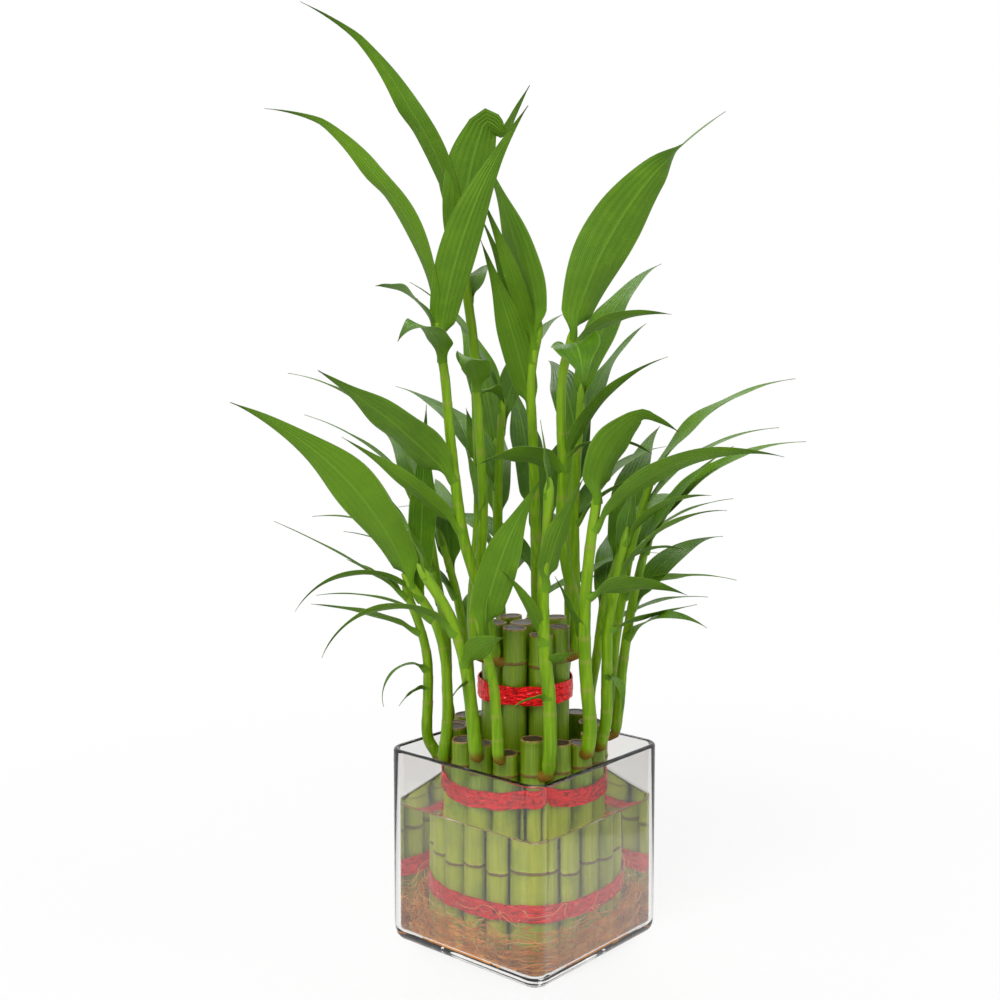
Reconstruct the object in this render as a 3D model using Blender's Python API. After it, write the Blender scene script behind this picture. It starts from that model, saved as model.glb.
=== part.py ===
"""Lucky bamboo: two tiers of tied canes with leafy shoots, standing in water in a square glass vase.

Blender units are metres and +Z is up. The origin is the centre of the vase's underside.
The plan below is written in millimetres and degrees. MM turns it into metres when a mesh is made.
The canes and shoots are planned in the bouquet's own frame, whose front is -Y, and the bouquet
stands turned in the vase.
"""

import math
import random
from typing import NamedTuple

import bpy
from mathutils import Matrix, Vector
from mathutils.bvhtree import BVHTree

MM = 0.001
GAP = 0.3  # free space between pieces that touch

# Vase
VASE_HALF = 47.2
VASE_HEIGHT = 95.0
WALL = 3.0
FLOOR = 5.2
CORNER_RADIUS = 9.0
BASE_RADIUS = 7.0
INSIDE_BASE_RADIUS = 2.5
CORNER_STEPS = 4
WATER_LEVEL = 67.0
BOUQUET_TURN = 41.0  # degrees from the vase's sides

# Canes: cut lengths of stem, standing on the vase's floor
CANE_RADIUS = 5.8
CANE_FOOT = FLOOR + GAP
CANE_SIDES = 8
NODE_RISE = 0.3
NODE_HALF_HEIGHT = 1.2
OUTER_RING = 34.0
OUTER_FIRST = -85.0
OUTER_TOPS = (108, 105, 103, 104, 106, 103, 105, 102, 104, 106, 103, 105, 104, 106, 103, 104, 101)
OUTER_NODES = (46.0, 91.0)
INNER_RING = 16.1
INNER_FIRST = -109.0
INNER_TOPS = (155.5, 152, 154, 156, 153, 155, 154, 156)
INNER_NODES = (52.0, 96.0, 138.0)
CORE_RADIUS = 7.5
CORE_TOP = 155.0

# Ribbons and roots
RIBBON_THICKNESS = 0.6
UPPER_RIBBON = (74.5, 82.5)
LOWER_RIBBON = (25.0, 33.0)
INNER_RIBBON = (120.0, 129.0)
ROOT_INNER_RADIUS = 40.5
ROOT_OUTER_HALF = 43.4
ROOT_TOP = 16.0
ROOT_STEPS = 32

# Shoots
STEM_SIDES = 6
STEM_SPAN_STEPS = 1
FOOT_DROP = 4.5  # from the upright part of a stem down to its foot on the cane
FOOT_RADIUS_SHARE = 0.8
TOP_RADIUS_SHARE = 0.7
OVER_RIM = 103.5  # a stem that turns up here passes above the vase's rim
BACK_REACH = 9.6

# Leaves
LEAF_STATIONS = (0.0, 0.14, 0.34, 0.57, 0.8, 1.0)
LEAF_HALF_THICKNESS = 0.45
LEAF_FOLD = 0.16
LEAF_OUTER_START = 2  # a leaf may touch its own shoot before this station
TURN_STEPS = range(-40, 41, 5)
LIFT_STEPS = range(-20, 21, 5)
SHORTER = (1.0, 0.9, 0.8, 0.65)


class Leaf(NamedTuple):
    """One leaf: where it leaves the stem, where it points, and how it bends.

    Compass is 0 to the right, 90 to the back, 180 to the left and -90 to the front.
    """

    height: float
    compass: float
    rise: float
    droop: float
    length: float
    width: float
    roll: float = 0.0


class Shoot(NamedTuple):
    """A side stem: the cane it grew from, its radius, its route from where it turns up, and its leaves."""

    tier: str
    cane: int
    radius: float
    route: tuple
    leaves: tuple


FRONT_SHOOTS = (
    Shoot("outer", 0, 3.2,
          ((10, -40.5, 96), (10.6, -41.5, 108), (10, -41, 130), (8, -40, 151), (7.4, -37, 180), (9, -34, 200),
           (10, -33, 222)),
          (Leaf(129, -159, 13, 60, 24, 6, 30), Leaf(143, -9, 41, 30, 16, 8, -30),
           Leaf(153, -163, 77, 35, 42, 7, 60), Leaf(177, 13, 80, 20, 54, 15, -75),
           Leaf(218, 126, 85, 10, 36, 9, 60))),
    Shoot("outer", 2, 3.2,
          ((28.5, -31.8, 103.5), (29.2, -32, 115), (27, -32, 140), (26.5, -31, 165), (28.5, -29, 192),
           (32, -26, 217)),
          (Leaf(148, 150, 72, 15, 37, 12, 60), Leaf(173, 4, 25, 50, 48, 13, -45),
           Leaf(203, 7, 55, 70, 101, 14, -40), Leaf(215, 6, 93, 85, 66, 24, -65))),
    Shoot("outer", 3, 2.8,
          ((35.5, -21, 103.5), (37.3, -22, 114), (37.4, -22, 135), (38, -21, 158), (42, -18, 178), (46, -15, 197)),
          (Leaf(134, -62, 27, 160, 27, 6, -20), Leaf(156, 11, 17, 8, 44, 5, -30),
           Leaf(176, 15, 66, 70, 68, 8, -40), Leaf(185, 30, 32, 50, 38, 7, -30),
           Leaf(187, 66, 66, 10, 45, 12, -30), Leaf(194, 7, 64, 70, 50, 9, -45))),
    Shoot("outer", 16, 2.7,
          ((-12.9, -41.6, 103.5), (-13.5, -41, 118), (-15, -40, 135), (-18, -39, 148), (-21, -38, 161)),
          (Leaf(152, 49, 82, 15, 48, 10, -50), Leaf(157, 6, 87, 25, 77, 19, -80))),
    Shoot("outer", 15, 3.2,
          ((-23.2, -36.4, 103.5), (-24.7, -36, 120), (-27, -36, 138), (-30, -36, 152), (-36, -36, 168),
           (-46, -35, 184)),
          (Leaf(134, -122, 13, 60, 15, 6, 30), Leaf(143, -16, 51, 40, 34, 12, -60),
           Leaf(157, -174, 51, 120, 74, 8, 40), Leaf(182, 149, 72, 30, 50, 15, 30))),
    Shoot("outer", 13, 2.7,
          ((-38.6, -14.4, 94), (-37, -14, 107), (-36.6, -14, 124), (-38, -14, 142), (-42, -14, 157),
           (-48, -14, 168), (-54, -14, 176)),
          (Leaf(159, 172, 30, 40, 58, 6, 35), Leaf(168, 180, 50, 110, 70, 6, 40),
           Leaf(170, 81, 81, 5, 90, 14, 0), Leaf(174, 180, 71, 50, 124, 24, 55))),
    Shoot("outer", 12, 2.7,
          ((-42.6, 4.5, 89), (-47, 2.5, 99), (-46.6, 1, 117), (-46.6, 0, 136), (-50, 0, 152), (-56, 1, 168)),
          (Leaf(123, -147, 6, 60, 18, 6, 20), Leaf(132, -149, 42, 150, 38, 4, 0),
           Leaf(150, 174, 23, 20, 55, 8, 50), Leaf(166, 155, 33, 15, 38, 12, 45),
           Leaf(167, 172, 34, 12, 74, 6, 40))),
    Shoot("inner", 0, 2.8,
          ((-14.3, -17.7, 144), (-17, -20, 157), (-21.5, -21, 174), (-28.5, -22, 198), (-32, -22, 221),
           (-35, -20, 248), (-37, -18, 271), (-39.5, -17, 287), (-41, -16, 297)),
          (Leaf(202, -176, 46, 15, 70, 11, 50), Leaf(225, -159, 47, 16, 82, 24, 43),
           Leaf(279, -121, 81, 130, 46, 20, 0), Leaf(286.5, -12, 84, 30, 115, 19, -78),
           Leaf(291, 143, 66, 70, 47, 20, 37), Leaf(297, 174, 89, 80, 135, 14, 60))),
    Shoot("inner", 6, 3.0,
          ((-24.4, 8, 144), (-25, 9, 160), (-22, 8, 204), (-22.5, 6, 241), (-24, 6, 281), (-27, 6, 307),
           (-30, 7, 332)),
          (Leaf(227, 161, 83, 10, 30, 11, 70), Leaf(306, 65, 65, 60, 34, 11, 0),
           Leaf(325, -11, 94, 40, 100, 24, -80), Leaf(328.5, 158, 77, 15, 62, 7, 60),
           Leaf(332, -174, 84, 60, 138, 15, 55))),
    Shoot("inner", 7, 2.6,
          ((-23.5, -10.1, 144), (-24, -10, 160), (-20, -6, 204), (-21.3, -8, 242), (-23, -8, 268)),
          (Leaf(205, 131, 76, 15, 37, 14, 60), Leaf(263, 57, 32, 90, 27, 11, 0),
           Leaf(265, -112, 86, 130, 40, 18, 0))),
    Shoot("inner", 2, 2.8,
          ((24.2, -8.2, 144), (24.5, -9, 158), (17, -7, 196), (17.3, -8, 228), (16.3, -8, 252), (17, -8, 273),
           (21, -8, 290)),
          (Leaf(228, -5, 78, 60, 75, 9, -40), Leaf(229, -153, 33, 55, 46, 13, 50),
           Leaf(235, 32, 28, 60, 55, 10, -30), Leaf(284, -81, 34, 120, 44, 24, 0),
           Leaf(286, 16, 41, 50, 54, 11, -35), Leaf(289, 8, 78, 45, 130, 28, -65))),
    Shoot("inner", 4, 2.8,
          ((6.3, 25.2, 144), (6, 24, 160), (5, 12, 200), (3.6, 6, 241), (2.6, 5, 270), (6, 5, 292)),
          (Leaf(254, -157, 77, 10, 85, 15, 60), Leaf(277, 170, 75, 10, 74, 11, 64),
           Leaf(284.5, -150, 72, 10, 78, 9, 55), Leaf(289, 156, 80, 15, 88, 23, 68))),
    Shoot("inner", 5, 2.6,
          ((-10.6, 23.3, 144), (-12, 25, 160), (-13, 24, 210), (-11, 22, 255)),
          (Leaf(215, 120, 60, 50, 70, 14, 0), Leaf(245, 60, 70, 60, 90, 18, 0),
           Leaf(253, 150, 75, 50, 85, 16, 30))),
    Shoot("inner", 3, 2.6,
          ((23.8, 10.6, 144), (24.5, 12, 160), (24, 15, 210), (27, 18, 262)),
          (Leaf(200, 20, 50, 60, 60, 12, -20), Leaf(235, 100, 60, 60, 85, 17, 0),
           Leaf(258, 50, 75, 60, 100, 19, 0))),
)

# Shoots at the sides and the back: cane, height of the stem's tip, outward lean, and leaf count
BACK_SHOOTS = (
    (4, 190, 12, 4),
    (5, 222, 22, 4),
    (6, 178, 20, 4),
    (7, 226, 12, 5),
    (8, 200, 18, 4),
    (9, 232, 10, 5),
    (10, 186, 20, 4),
    (11, 212, 14, 4),
)
BACK_SEED = 7


def clear_scene():
    for obj in list(bpy.data.objects):
        bpy.data.objects.remove(obj)


def make_material(name, colour, roughness, metallic=0.0, alpha=1.0):
    material = bpy.data.materials.new(name)
    material.use_nodes = True
    shader = material.node_tree.nodes["Principled BSDF"]
    shader.inputs["Base Color"].default_value = (*colour, 1.0)
    shader.inputs["Roughness"].default_value = roughness
    shader.inputs["Metallic"].default_value = metallic
    shader.inputs["Alpha"].default_value = alpha
    return material


def make_object(name, points, faces, material=None, parent=None, collection=None, smooth_angle=None):
    mesh = bpy.data.meshes.new(name)
    mesh.from_pydata([Vector(point) * MM for point in points], [], faces)
    mesh.update()
    if material:
        mesh.materials.append(material)
    if smooth_angle:
        mesh.shade_smooth()
        mesh.set_sharp_from_angle(angle=math.radians(smooth_angle))
    obj = bpy.data.objects.new(name, mesh)
    (collection or bpy.context.scene.collection).objects.link(obj)
    obj.parent = parent
    return obj


def make_helper(obj):
    """Keep a cutter or a leaf that is joined to its stem out of the render."""
    obj.hide_render = True
    obj.display_type = "WIRE"


def add_boolean(obj, operation, collection):
    modifier = obj.modifiers.new(operation.title(), "BOOLEAN")
    modifier.operation = operation
    modifier.operand_type = "COLLECTION"
    modifier.collection = collection
    modifier.solver = "EXACT"


def new_collection(name):
    collection = bpy.data.collections.new(name)
    bpy.context.scene.collection.children.link(collection)
    return collection


def polar(radius, degrees, z=0.0):
    angle = math.radians(degrees)
    return Vector((radius * math.cos(angle), radius * math.sin(angle), z))


# Rings of points and the shells between them


def loft(rings, closed_ends=True):
    """Triangles between rings of equally many points that run anticlockwise seen from above, bottom first."""
    count = len(rings[0])
    points = [point for ring in rings for point in ring]
    faces = []
    for level in range(len(rings) - 1):
        low, high = level * count, (level + 1) * count
        for i in range(count):
            j = (i + 1) % count
            faces.append((low + i, low + j, high + j))
            faces.append((low + i, high + j, high + i))
    if closed_ends:
        top = (len(rings) - 1) * count
        faces.append(tuple(reversed(range(count))))
        faces.append(tuple(range(top, top + count)))
    return points, faces


def square_ring(half, corner, z):
    """A square with round corners, as points."""
    ring = []
    for quarter in range(4):
        centre = Vector((half - corner, half - corner, z))
        centre.rotate(Matrix.Rotation(math.radians(90 * quarter), 3, "Z"))
        for step in range(CORNER_STEPS + 1):
            ring.append(centre + polar(corner, 90 * quarter + 90 * step / CORNER_STEPS))
    return ring


def round_ring(radius, sides, z, centre=Vector((0, 0, 0))):
    return [centre + polar(radius, 360 * i / sides, z) for i in range(sides)]


# Vase, water, roots and ribbons


def box_rings(half, corner, edge, bottom, top, steps=3):
    """The outline of a box with round upright corners and a round bottom edge, bottom first."""
    rings = []
    for step in range(steps + 1):
        angle = math.radians(90 * step / steps)
        inset = edge * (1 - math.sin(angle))
        rings.append(square_ring(half - inset, max(corner - inset, 2.0), bottom + edge * (1 - math.cos(angle))))
    rings.append(square_ring(half, corner, top))
    return rings


def make_vase(material):
    outside = box_rings(VASE_HALF, CORNER_RADIUS, BASE_RADIUS, 0, VASE_HEIGHT)
    inside = box_rings(VASE_HALF - WALL, CORNER_RADIUS - WALL, INSIDE_BASE_RADIUS, FLOOR, VASE_HEIGHT)
    points, faces = loft(outside + inside[::-1])
    return make_object("glass_vase", points, faces, material, smooth_angle=40)


def ribbon_radius(degrees):
    """How far out a band lies that is pulled tight round the outer ring of canes."""
    pitch = 360 / len(OUTER_TOPS)
    off = (degrees - OUTER_FIRST + pitch / 2) % pitch - pitch / 2
    return OUTER_RING * math.cos(math.radians(off)) + CANE_RADIUS


def band(name, heights, radius_at, sides, first, material, parent, spare=0.0):
    """An upright closed band. spare makes it thicker all round, for a cutter."""
    low, high = heights[0] - spare, heights[1] + spare
    inner, outer = [], []
    for i in range(sides):
        degrees = first + 360 * i / sides
        radius = radius_at(degrees) + GAP
        inner.append((radius - spare, degrees))
        outer.append((radius + RIBBON_THICKNESS + spare, degrees))
    rings = [[polar(r, a, low) for r, a in outer], [polar(r, a, high) for r, a in outer],
             [polar(r, a, high) for r, a in inner], [polar(r, a, low) for r, a in inner]]
    points, faces = loft(rings + rings[:1], closed_ends=False)
    points, faces = weld_last_ring(points, faces, sides)
    return make_object(name, points, faces, material, parent)


def weld_last_ring(points, faces, count):
    """Join the last ring to the first, for a shell that closes on itself."""
    last = len(points) - count
    return points[:last], [tuple(i - last if i >= last else i for i in face) for face in faces]


def square_radius(degrees, half, corner):
    """The distance from the middle to the side of a square with round corners."""
    angle = math.radians((degrees + 45) % 90 - 45)
    x, y = half, half * math.tan(abs(angle))
    straight = half - corner
    if y <= straight:
        return math.hypot(x, y)
    along = math.cos(abs(angle)) * straight + math.sin(abs(angle)) * straight
    return along + math.sqrt(along * along - 2 * straight * straight + corner * corner)


def root_mat(name, material, spare=0.0, past_wall=0.0):
    """Roots packed between the canes' feet and the vase.

    They lie on the floor in the corners, and above the round inside edge where the canes are near the wall.
    """
    inner_low, inner_high, outer_high, outer_low = [], [], [], []
    corner = CORNER_RADIUS - WALL
    for i in range(ROOT_STEPS):
        degrees = 360 * i / ROOT_STEPS
        reach = square_radius(degrees, ROOT_OUTER_HALF, corner)
        in_corner = reach > ROOT_OUTER_HALF + 2 * INSIDE_BASE_RADIUS
        low = CANE_FOOT if in_corner else FLOOR + INSIDE_BASE_RADIUS + GAP
        edge = INSIDE_BASE_RADIUS if in_corner and not past_wall else 0
        inner_low.append(polar(ROOT_INNER_RADIUS - spare, degrees, low - spare))
        inner_high.append(polar(ROOT_INNER_RADIUS - spare, degrees, ROOT_TOP + spare))
        outer_high.append(polar(reach + past_wall, degrees, ROOT_TOP + spare))
        outer_low.append(polar(reach - edge + past_wall, degrees, low - spare))
    rings = [outer_low, outer_high, inner_high, inner_low, outer_low]
    points, faces = loft(rings, closed_ends=False)
    points, faces = weld_last_ring(points, faces, ROOT_STEPS)
    return make_object(name, points, faces, material)


def make_water(material, bouquet, canes):
    half = VASE_HALF - WALL - GAP
    rings = box_rings(half, CORNER_RADIUS - WALL - GAP, INSIDE_BASE_RADIUS, CANE_FOOT, WATER_LEVEL)
    water = make_object("water", *loft(rings), material)
    cutters = new_collection("water_cutters")
    shapes = [root_mat("root_cutter", None, spare=GAP, past_wall=WALL)]
    shapes.append(band("ribbon_cutter", LOWER_RIBBON, ribbon_radius, 2 * len(OUTER_TOPS), OUTER_FIRST,
                       None, bouquet, spare=GAP))
    for index, (centre, radius, _, _) in enumerate(canes):
        # The core's cutter also takes away the water that the inner canes shut in round the core.
        reach = INNER_RING if radius == CORE_RADIUS else radius + 2 * GAP
        rings = [round_ring(reach, CANE_SIDES, z, centre) for z in (0, WATER_LEVEL + 5)]
        shapes.append(make_object(f"cane_cutter_{index}", *loft(rings), None, bouquet))
    for shape in shapes:
        make_helper(shape)
        bpy.context.scene.collection.objects.unlink(shape)
        cutters.objects.link(shape)
    add_boolean(water, "DIFFERENCE", cutters)


# Canes


def cane_list():
    """(centre, radius, top, nodes) of each cane: the outer tier, the inner tier, then the core."""
    canes = []
    for tier_first, ring, tops, nodes in ((OUTER_FIRST, OUTER_RING, OUTER_TOPS, OUTER_NODES),
                                          (INNER_FIRST, INNER_RING, INNER_TOPS, INNER_NODES)):
        for i, top in enumerate(tops):
            centre = polar(ring, tier_first + 360 * i / len(tops))
            canes.append((centre, CANE_RADIUS, top, nodes))
    canes.append((Vector((0, 0, 0)), CORE_RADIUS, CORE_TOP, ()))
    return canes


def make_cane(name, cane, material, parent):
    centre, radius, top, nodes = cane
    rings = [round_ring(radius, CANE_SIDES, CANE_FOOT, centre)]
    for node in nodes:
        for offset, bulge in ((-NODE_HALF_HEIGHT, 0), (0, NODE_RISE), (NODE_HALF_HEIGHT, 0)):
            rings.append(round_ring(radius + bulge, CANE_SIDES, node + offset, centre))
    rings.append(round_ring(radius, CANE_SIDES, top, centre))
    return make_object(name, *loft(rings), material, parent, smooth_angle=40)


# Shoots


def smooth_route(points, steps):
    """Points on a Catmull-Rom curve through the given ones."""
    points = [Vector(point) for point in points]
    ends = [2 * points[0] - points[1]] + points + [2 * points[-1] - points[-2]]
    route = []
    for a, b, c, d in zip(ends, ends[1:], ends[2:], ends[3:]):
        for i in range(steps):
            t = i / steps
            route.append(0.5 * (2 * b + (c - a) * t + (2 * a - 5 * b + 4 * c - d) * t * t
                                + (3 * b - a - 3 * c + d) * t ** 3))
    return route + [points[-1]]


def tube(route, radii, sides):
    """A closed round tube along the route, its rings turned as little as possible."""
    rings = []
    side = None
    for i, point in enumerate(route):
        along = (route[min(i + 1, len(route) - 1)] - route[max(i - 1, 0)]).normalized()
        if i == 0:
            along = Vector((along.x, along.y, 0)).normalized()
        if side is None:
            side = along.orthogonal().normalized()
        side = (side - along * side.dot(along)).normalized()
        other = along.cross(side)
        rings.append([point + radii[i] * (side * math.cos(2 * math.pi * k / sides)
                                          + other * math.sin(2 * math.pi * k / sides)) for k in range(sides)])
    return loft(rings)


def stem_route(shoot, canes):
    """The stem leaves its cane sideways, with a flat foot just clear of the bark, and then turns up."""
    index = shoot.cane + (len(OUTER_TOPS) if shoot.tier == "inner" else 0)
    centre, radius, _, _ = canes[index]
    first = Vector(shoot.route[0])
    away = Vector((first.x - centre.x, first.y - centre.y, 0)).normalized()
    foot = centre + away * (radius + GAP + 0.05) + Vector((0, 0, first.z - FOOT_DROP))
    elbow = foot.lerp(first, 0.5) + (away - Vector((0, 0, 1))) * 0.2 * (first - foot).length
    return [foot, elbow] + smooth_route(shoot.route, STEM_SPAN_STEPS)


def stem_radii(route, radius):
    count = len(route) - 1
    radii = []
    for i in range(count + 1):
        share = 1 - (1 - TOP_RADIUS_SHARE) * i / count
        radii.append(radius * (FOOT_RADIUS_SHARE if i < 2 else share))
    return radii


def point_at_height(route, height):
    for low, high in zip(route, route[1:]):
        if low.z <= height <= high.z:
            return low.lerp(high, (height - low.z) / (high.z - low.z))
    return route[-1]


def leaf_width(share):
    """Half the leaf's width at a share of its length, as a share of its greatest width."""
    blade = 4.08 * share ** 0.9 * (1 - share) ** 1.15
    sheath = 0.3 * (1 - share) ** 8
    return 0.5 * max(blade + sheath, 0.03)


def leaf_solid(base, leaf, spare=0.0, first=0):
    """A thin closed leaf with a folded midrib. Its pitch falls evenly from rise to rise - droop."""
    heading = math.radians(leaf.compass)
    side = Vector((math.sin(heading), -math.cos(heading), 0))
    rings = []
    point = base.copy()
    before = 0.0
    for station in LEAF_STATIONS:
        middle = math.radians(leaf.rise - leaf.droop * (station + before) / 2)
        ahead = Vector((math.cos(heading) * math.cos(middle), math.sin(heading) * math.cos(middle),
                        math.sin(middle)))
        point = point + ahead * leaf.length * (station - before)
        before = station
        pitch = math.radians(leaf.rise - leaf.droop * station)
        along = Vector((math.cos(heading) * math.cos(pitch), math.sin(heading) * math.cos(pitch),
                        math.sin(pitch)))
        turn = Matrix.Rotation(math.radians(leaf.roll), 3, along)
        across = turn @ side
        up = across.cross(along)
        half = leaf.width * leaf_width(station) + spare
        thick = LEAF_HALF_THICKNESS * (1 - 0.6 * station) + spare
        lift = up * LEAF_FOLD * half
        rings.append([point + across * half + lift, point + up * thick, point - across * half + lift,
                      point - up * thick])
    points, faces = loft(rings[first:])
    square = 4
    ends = [(0, 2, 1), (0, 3, 2)]
    top = len(points) - square
    ends += [(top, top + 1, top + 2), (top, top + 2, top + 3)]
    return points, faces[:-2] + ends


def tree_of(points, faces):
    triangles = []
    for face in faces:
        for i in range(1, len(face) - 1):
            triangles.append((face[0], face[i], face[i + 1]))
    return BVHTree.FromPolygons(points, triangles)


def leaf_choices(leaf):
    """The leaf as planned, then turned, lifted or shortened by more and more."""
    changes = [(turn, lift) for turn in TURN_STEPS for lift in LIFT_STEPS]
    changes.sort(key=lambda change: (change[0] ** 2 + 2 * change[1] ** 2, change))
    for share in SHORTER:
        for turn, lift in changes:
            yield leaf._replace(compass=leaf.compass + turn, rise=leaf.rise + lift, length=leaf.length * share)


def settle_leaf(base, leaf, others, own):
    """The first choice that crosses no other piece, nor the outer part of a leaf of its own shoot."""
    for choice in leaf_choices(leaf):
        whole = tree_of(*leaf_solid(base, choice, spare=GAP))
        if any(whole.overlap(tree) for tree in others):
            continue
        outer = tree_of(*leaf_solid(base, choice, first=LEAF_OUTER_START))
        if not any(outer.overlap(tree) for tree in own):
            return choice
    return None


def back_shoot(cane, top, lean, leaf_count):
    """A shoot at the side or the back: it rises beside its cane and leans outwards."""
    pick = random.Random(BACK_SEED + cane)
    way = OUTER_FIRST + 360 * cane / len(OUTER_TOPS)
    reach = OUTER_RING + BACK_REACH
    low = OVER_RIM
    route = [polar(reach, way, low), polar(reach + 1.5, way, low + 12)]
    for share in (0.35, 0.7, 1.0):
        height = low + (top - low) * share
        route.append(polar(reach + 1.5 + lean * share ** 2, way + pick.uniform(-3, 3), height))
    leaves = []
    for i in range(leaf_count):
        share = (i + 1) / leaf_count
        height = low + (top - low) * (0.35 + 0.62 * share)
        side = 75 if i % 2 else -60
        leaves.append(Leaf(height, way + side * (1.15 - share) + pick.uniform(-15, 15),
                           35 + 40 * share, pick.uniform(45, 75), 48 + 50 * share * pick.uniform(0.8, 1.1),
                           9 + 10 * share))
    return Shoot("outer", cane, 2.6, tuple(tuple(point) for point in route), tuple(leaves))


def make_shoots(material, bouquet, canes, obstacles):
    plan = list(FRONT_SHOOTS) + [back_shoot(*row) for row in BACK_SHOOTS]
    routes = [stem_route(shoot, canes) for shoot in plan]
    stems = [tube(route, stem_radii(route, shoot.radius), STEM_SIDES) for shoot, route in zip(plan, routes)]
    stem_trees = [tree_of(*stem) for stem in stems]
    placed = [[] for _ in plan]
    outers = [[] for _ in plan]
    for index, (shoot, route) in enumerate(zip(plan, routes)):
        name = f"{shoot.tier}_shoot_{shoot.cane + 1:02d}"
        leaves = new_collection(f"{name}_leaves")
        others = obstacles + stem_trees[:index] + stem_trees[index + 1:]
        others += [tree for row in placed[:index] for tree in row]
        for number, leaf in enumerate(shoot.leaves):
            base = point_at_height(route, leaf.height)
            settled = settle_leaf(base, leaf, others, outers[index])
            if settled is None:
                print(f"{name} has no room for leaf {number}")
                continue
            solid = leaf_solid(base, settled)
            placed[index].append(tree_of(*solid))
            outers[index].append(tree_of(*leaf_solid(base, settled, first=LEAF_OUTER_START)))
            make_helper(make_object(f"{name}_leaf_{number}", *solid, material, bouquet, leaves))
        stem = make_object(name, *stems[index], material, bouquet)
        add_boolean(stem, "UNION", leaves)


def main():
    clear_scene()
    bpy.context.scene.unit_settings.system = "METRIC"
    cane_green = make_material("cane", (0.36, 0.42, 0.05), 0.4)
    leaf_green = make_material("leaf", (0.06, 0.22, 0.01), 0.35)
    ribbon_red = make_material("ribbon", (0.6, 0.01, 0.02), 0.25, metallic=0.8)
    root_orange = make_material("root", (0.5, 0.2, 0.03), 0.8)
    glass = make_material("glass", (0.9, 0.92, 0.92), 0.02, alpha=0.3)
    water_clear = make_material("water", (0.85, 0.86, 0.8), 0.02, alpha=0.3)

    bouquet = bpy.data.objects.new("bouquet", None)
    bpy.context.scene.collection.objects.link(bouquet)
    bouquet.rotation_euler.z = math.radians(BOUQUET_TURN)

    canes = cane_list()
    vase = make_vase(glass)
    make_water(water_clear, bouquet, canes)
    root_mat("root_mat", root_orange)
    names = [f"outer_cane_{i + 1:02d}" for i in range(len(OUTER_TOPS))]
    names += [f"inner_cane_{i + 1:02d}" for i in range(len(INNER_TOPS))] + ["core_cane"]
    solids = [make_cane(name, cane, cane_green, bouquet) for name, cane in zip(names, canes)]
    sides = 2 * len(OUTER_TOPS)
    solids.append(band("upper_ribbon", UPPER_RIBBON, ribbon_radius, sides, OUTER_FIRST, ribbon_red, bouquet))
    band("lower_ribbon", LOWER_RIBBON, ribbon_radius, sides, OUTER_FIRST, ribbon_red, bouquet)
    solids.append(band("inner_ribbon", INNER_RIBBON, lambda degrees: INNER_RING + CANE_RADIUS, 24, 0,
                       ribbon_red, bouquet))

    obstacles = []
    for solid in solids + [vase]:
        turned = Matrix.Rotation(math.radians(-BOUQUET_TURN), 3, "Z") if solid is vase else Matrix.Identity(3)
        points = [turned @ vertex.co / MM for vertex in solid.data.vertices]
        obstacles.append(tree_of(points, [tuple(face.vertices) for face in solid.data.polygons]))
    make_shoots(leaf_green, bouquet, canes, obstacles)


main()
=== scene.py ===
"""The looks of a lucky bamboo: two tiers of tied canes with leafy shoots, in water in a square glass vase.

The pieces are planned in millimetres and degrees, and MM turns them into metres when a mesh is made.
The canes and shoots are planned in the bouquet's own frame, whose front is -Y, and the bouquet stands
turned in the vase. TURN takes the bouquet's frame to the vase's.
"""

import math
import random
from typing import NamedTuple

import bmesh
import bpy
from mathutils import Matrix, Vector, noise
from mathutils.kdtree import KDTree


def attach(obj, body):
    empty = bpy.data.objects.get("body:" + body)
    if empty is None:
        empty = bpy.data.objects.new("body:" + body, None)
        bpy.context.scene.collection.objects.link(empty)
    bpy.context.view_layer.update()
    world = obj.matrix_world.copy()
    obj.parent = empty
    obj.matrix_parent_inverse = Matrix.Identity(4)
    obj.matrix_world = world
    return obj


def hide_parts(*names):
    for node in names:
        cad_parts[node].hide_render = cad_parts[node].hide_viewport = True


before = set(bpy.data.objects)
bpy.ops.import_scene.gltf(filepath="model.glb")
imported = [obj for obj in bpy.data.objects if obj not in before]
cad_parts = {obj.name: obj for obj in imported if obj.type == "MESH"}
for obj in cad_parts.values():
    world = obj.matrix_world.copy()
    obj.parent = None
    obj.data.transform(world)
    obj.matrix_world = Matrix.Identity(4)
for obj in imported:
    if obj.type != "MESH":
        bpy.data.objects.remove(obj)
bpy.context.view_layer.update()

MM = 0.001
TURN = Matrix.Rotation(math.radians(41), 3, "Z")

# ---------------------------------------------------------------------------------------------------
# Glass vase
# A square pressed-glass vase with a thick floor, round upright corners and a fire-polished rim. It is
# made from one run of rings: up the outside, over the rim and down the inside to the floor.
# ---------------------------------------------------------------------------------------------------


def polar(radius, degrees, z=0.0):
    angle = math.radians(degrees)
    return Vector((radius * math.cos(angle), radius * math.sin(angle), z))


def smooth(share):
    """0 below 0, 1 above 1, and an easy curve between them."""
    share = min(max(share, 0.0), 1.0)
    return share * share * (3 - 2 * share)


def mixed(first, second, share):
    return first + (second - first) * share


def loft(rings, capped=True):
    """Faces between rings of equally many points. The last ring joins the first where it isn't capped."""
    count = len(rings[0])
    points = [point for ring in rings for point in ring]
    faces = []
    for level in range(len(rings) - 1 if capped else len(rings)):
        low, high = level * count, (level + 1) % len(rings) * count
        for i in range(count):
            j = (i + 1) % count
            faces.append((low + i, low + j, high + j, high + i))
    if capped:
        faces += [tuple(reversed(range(count))), tuple(range(len(points) - count, len(points)))]
    return points, faces


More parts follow.
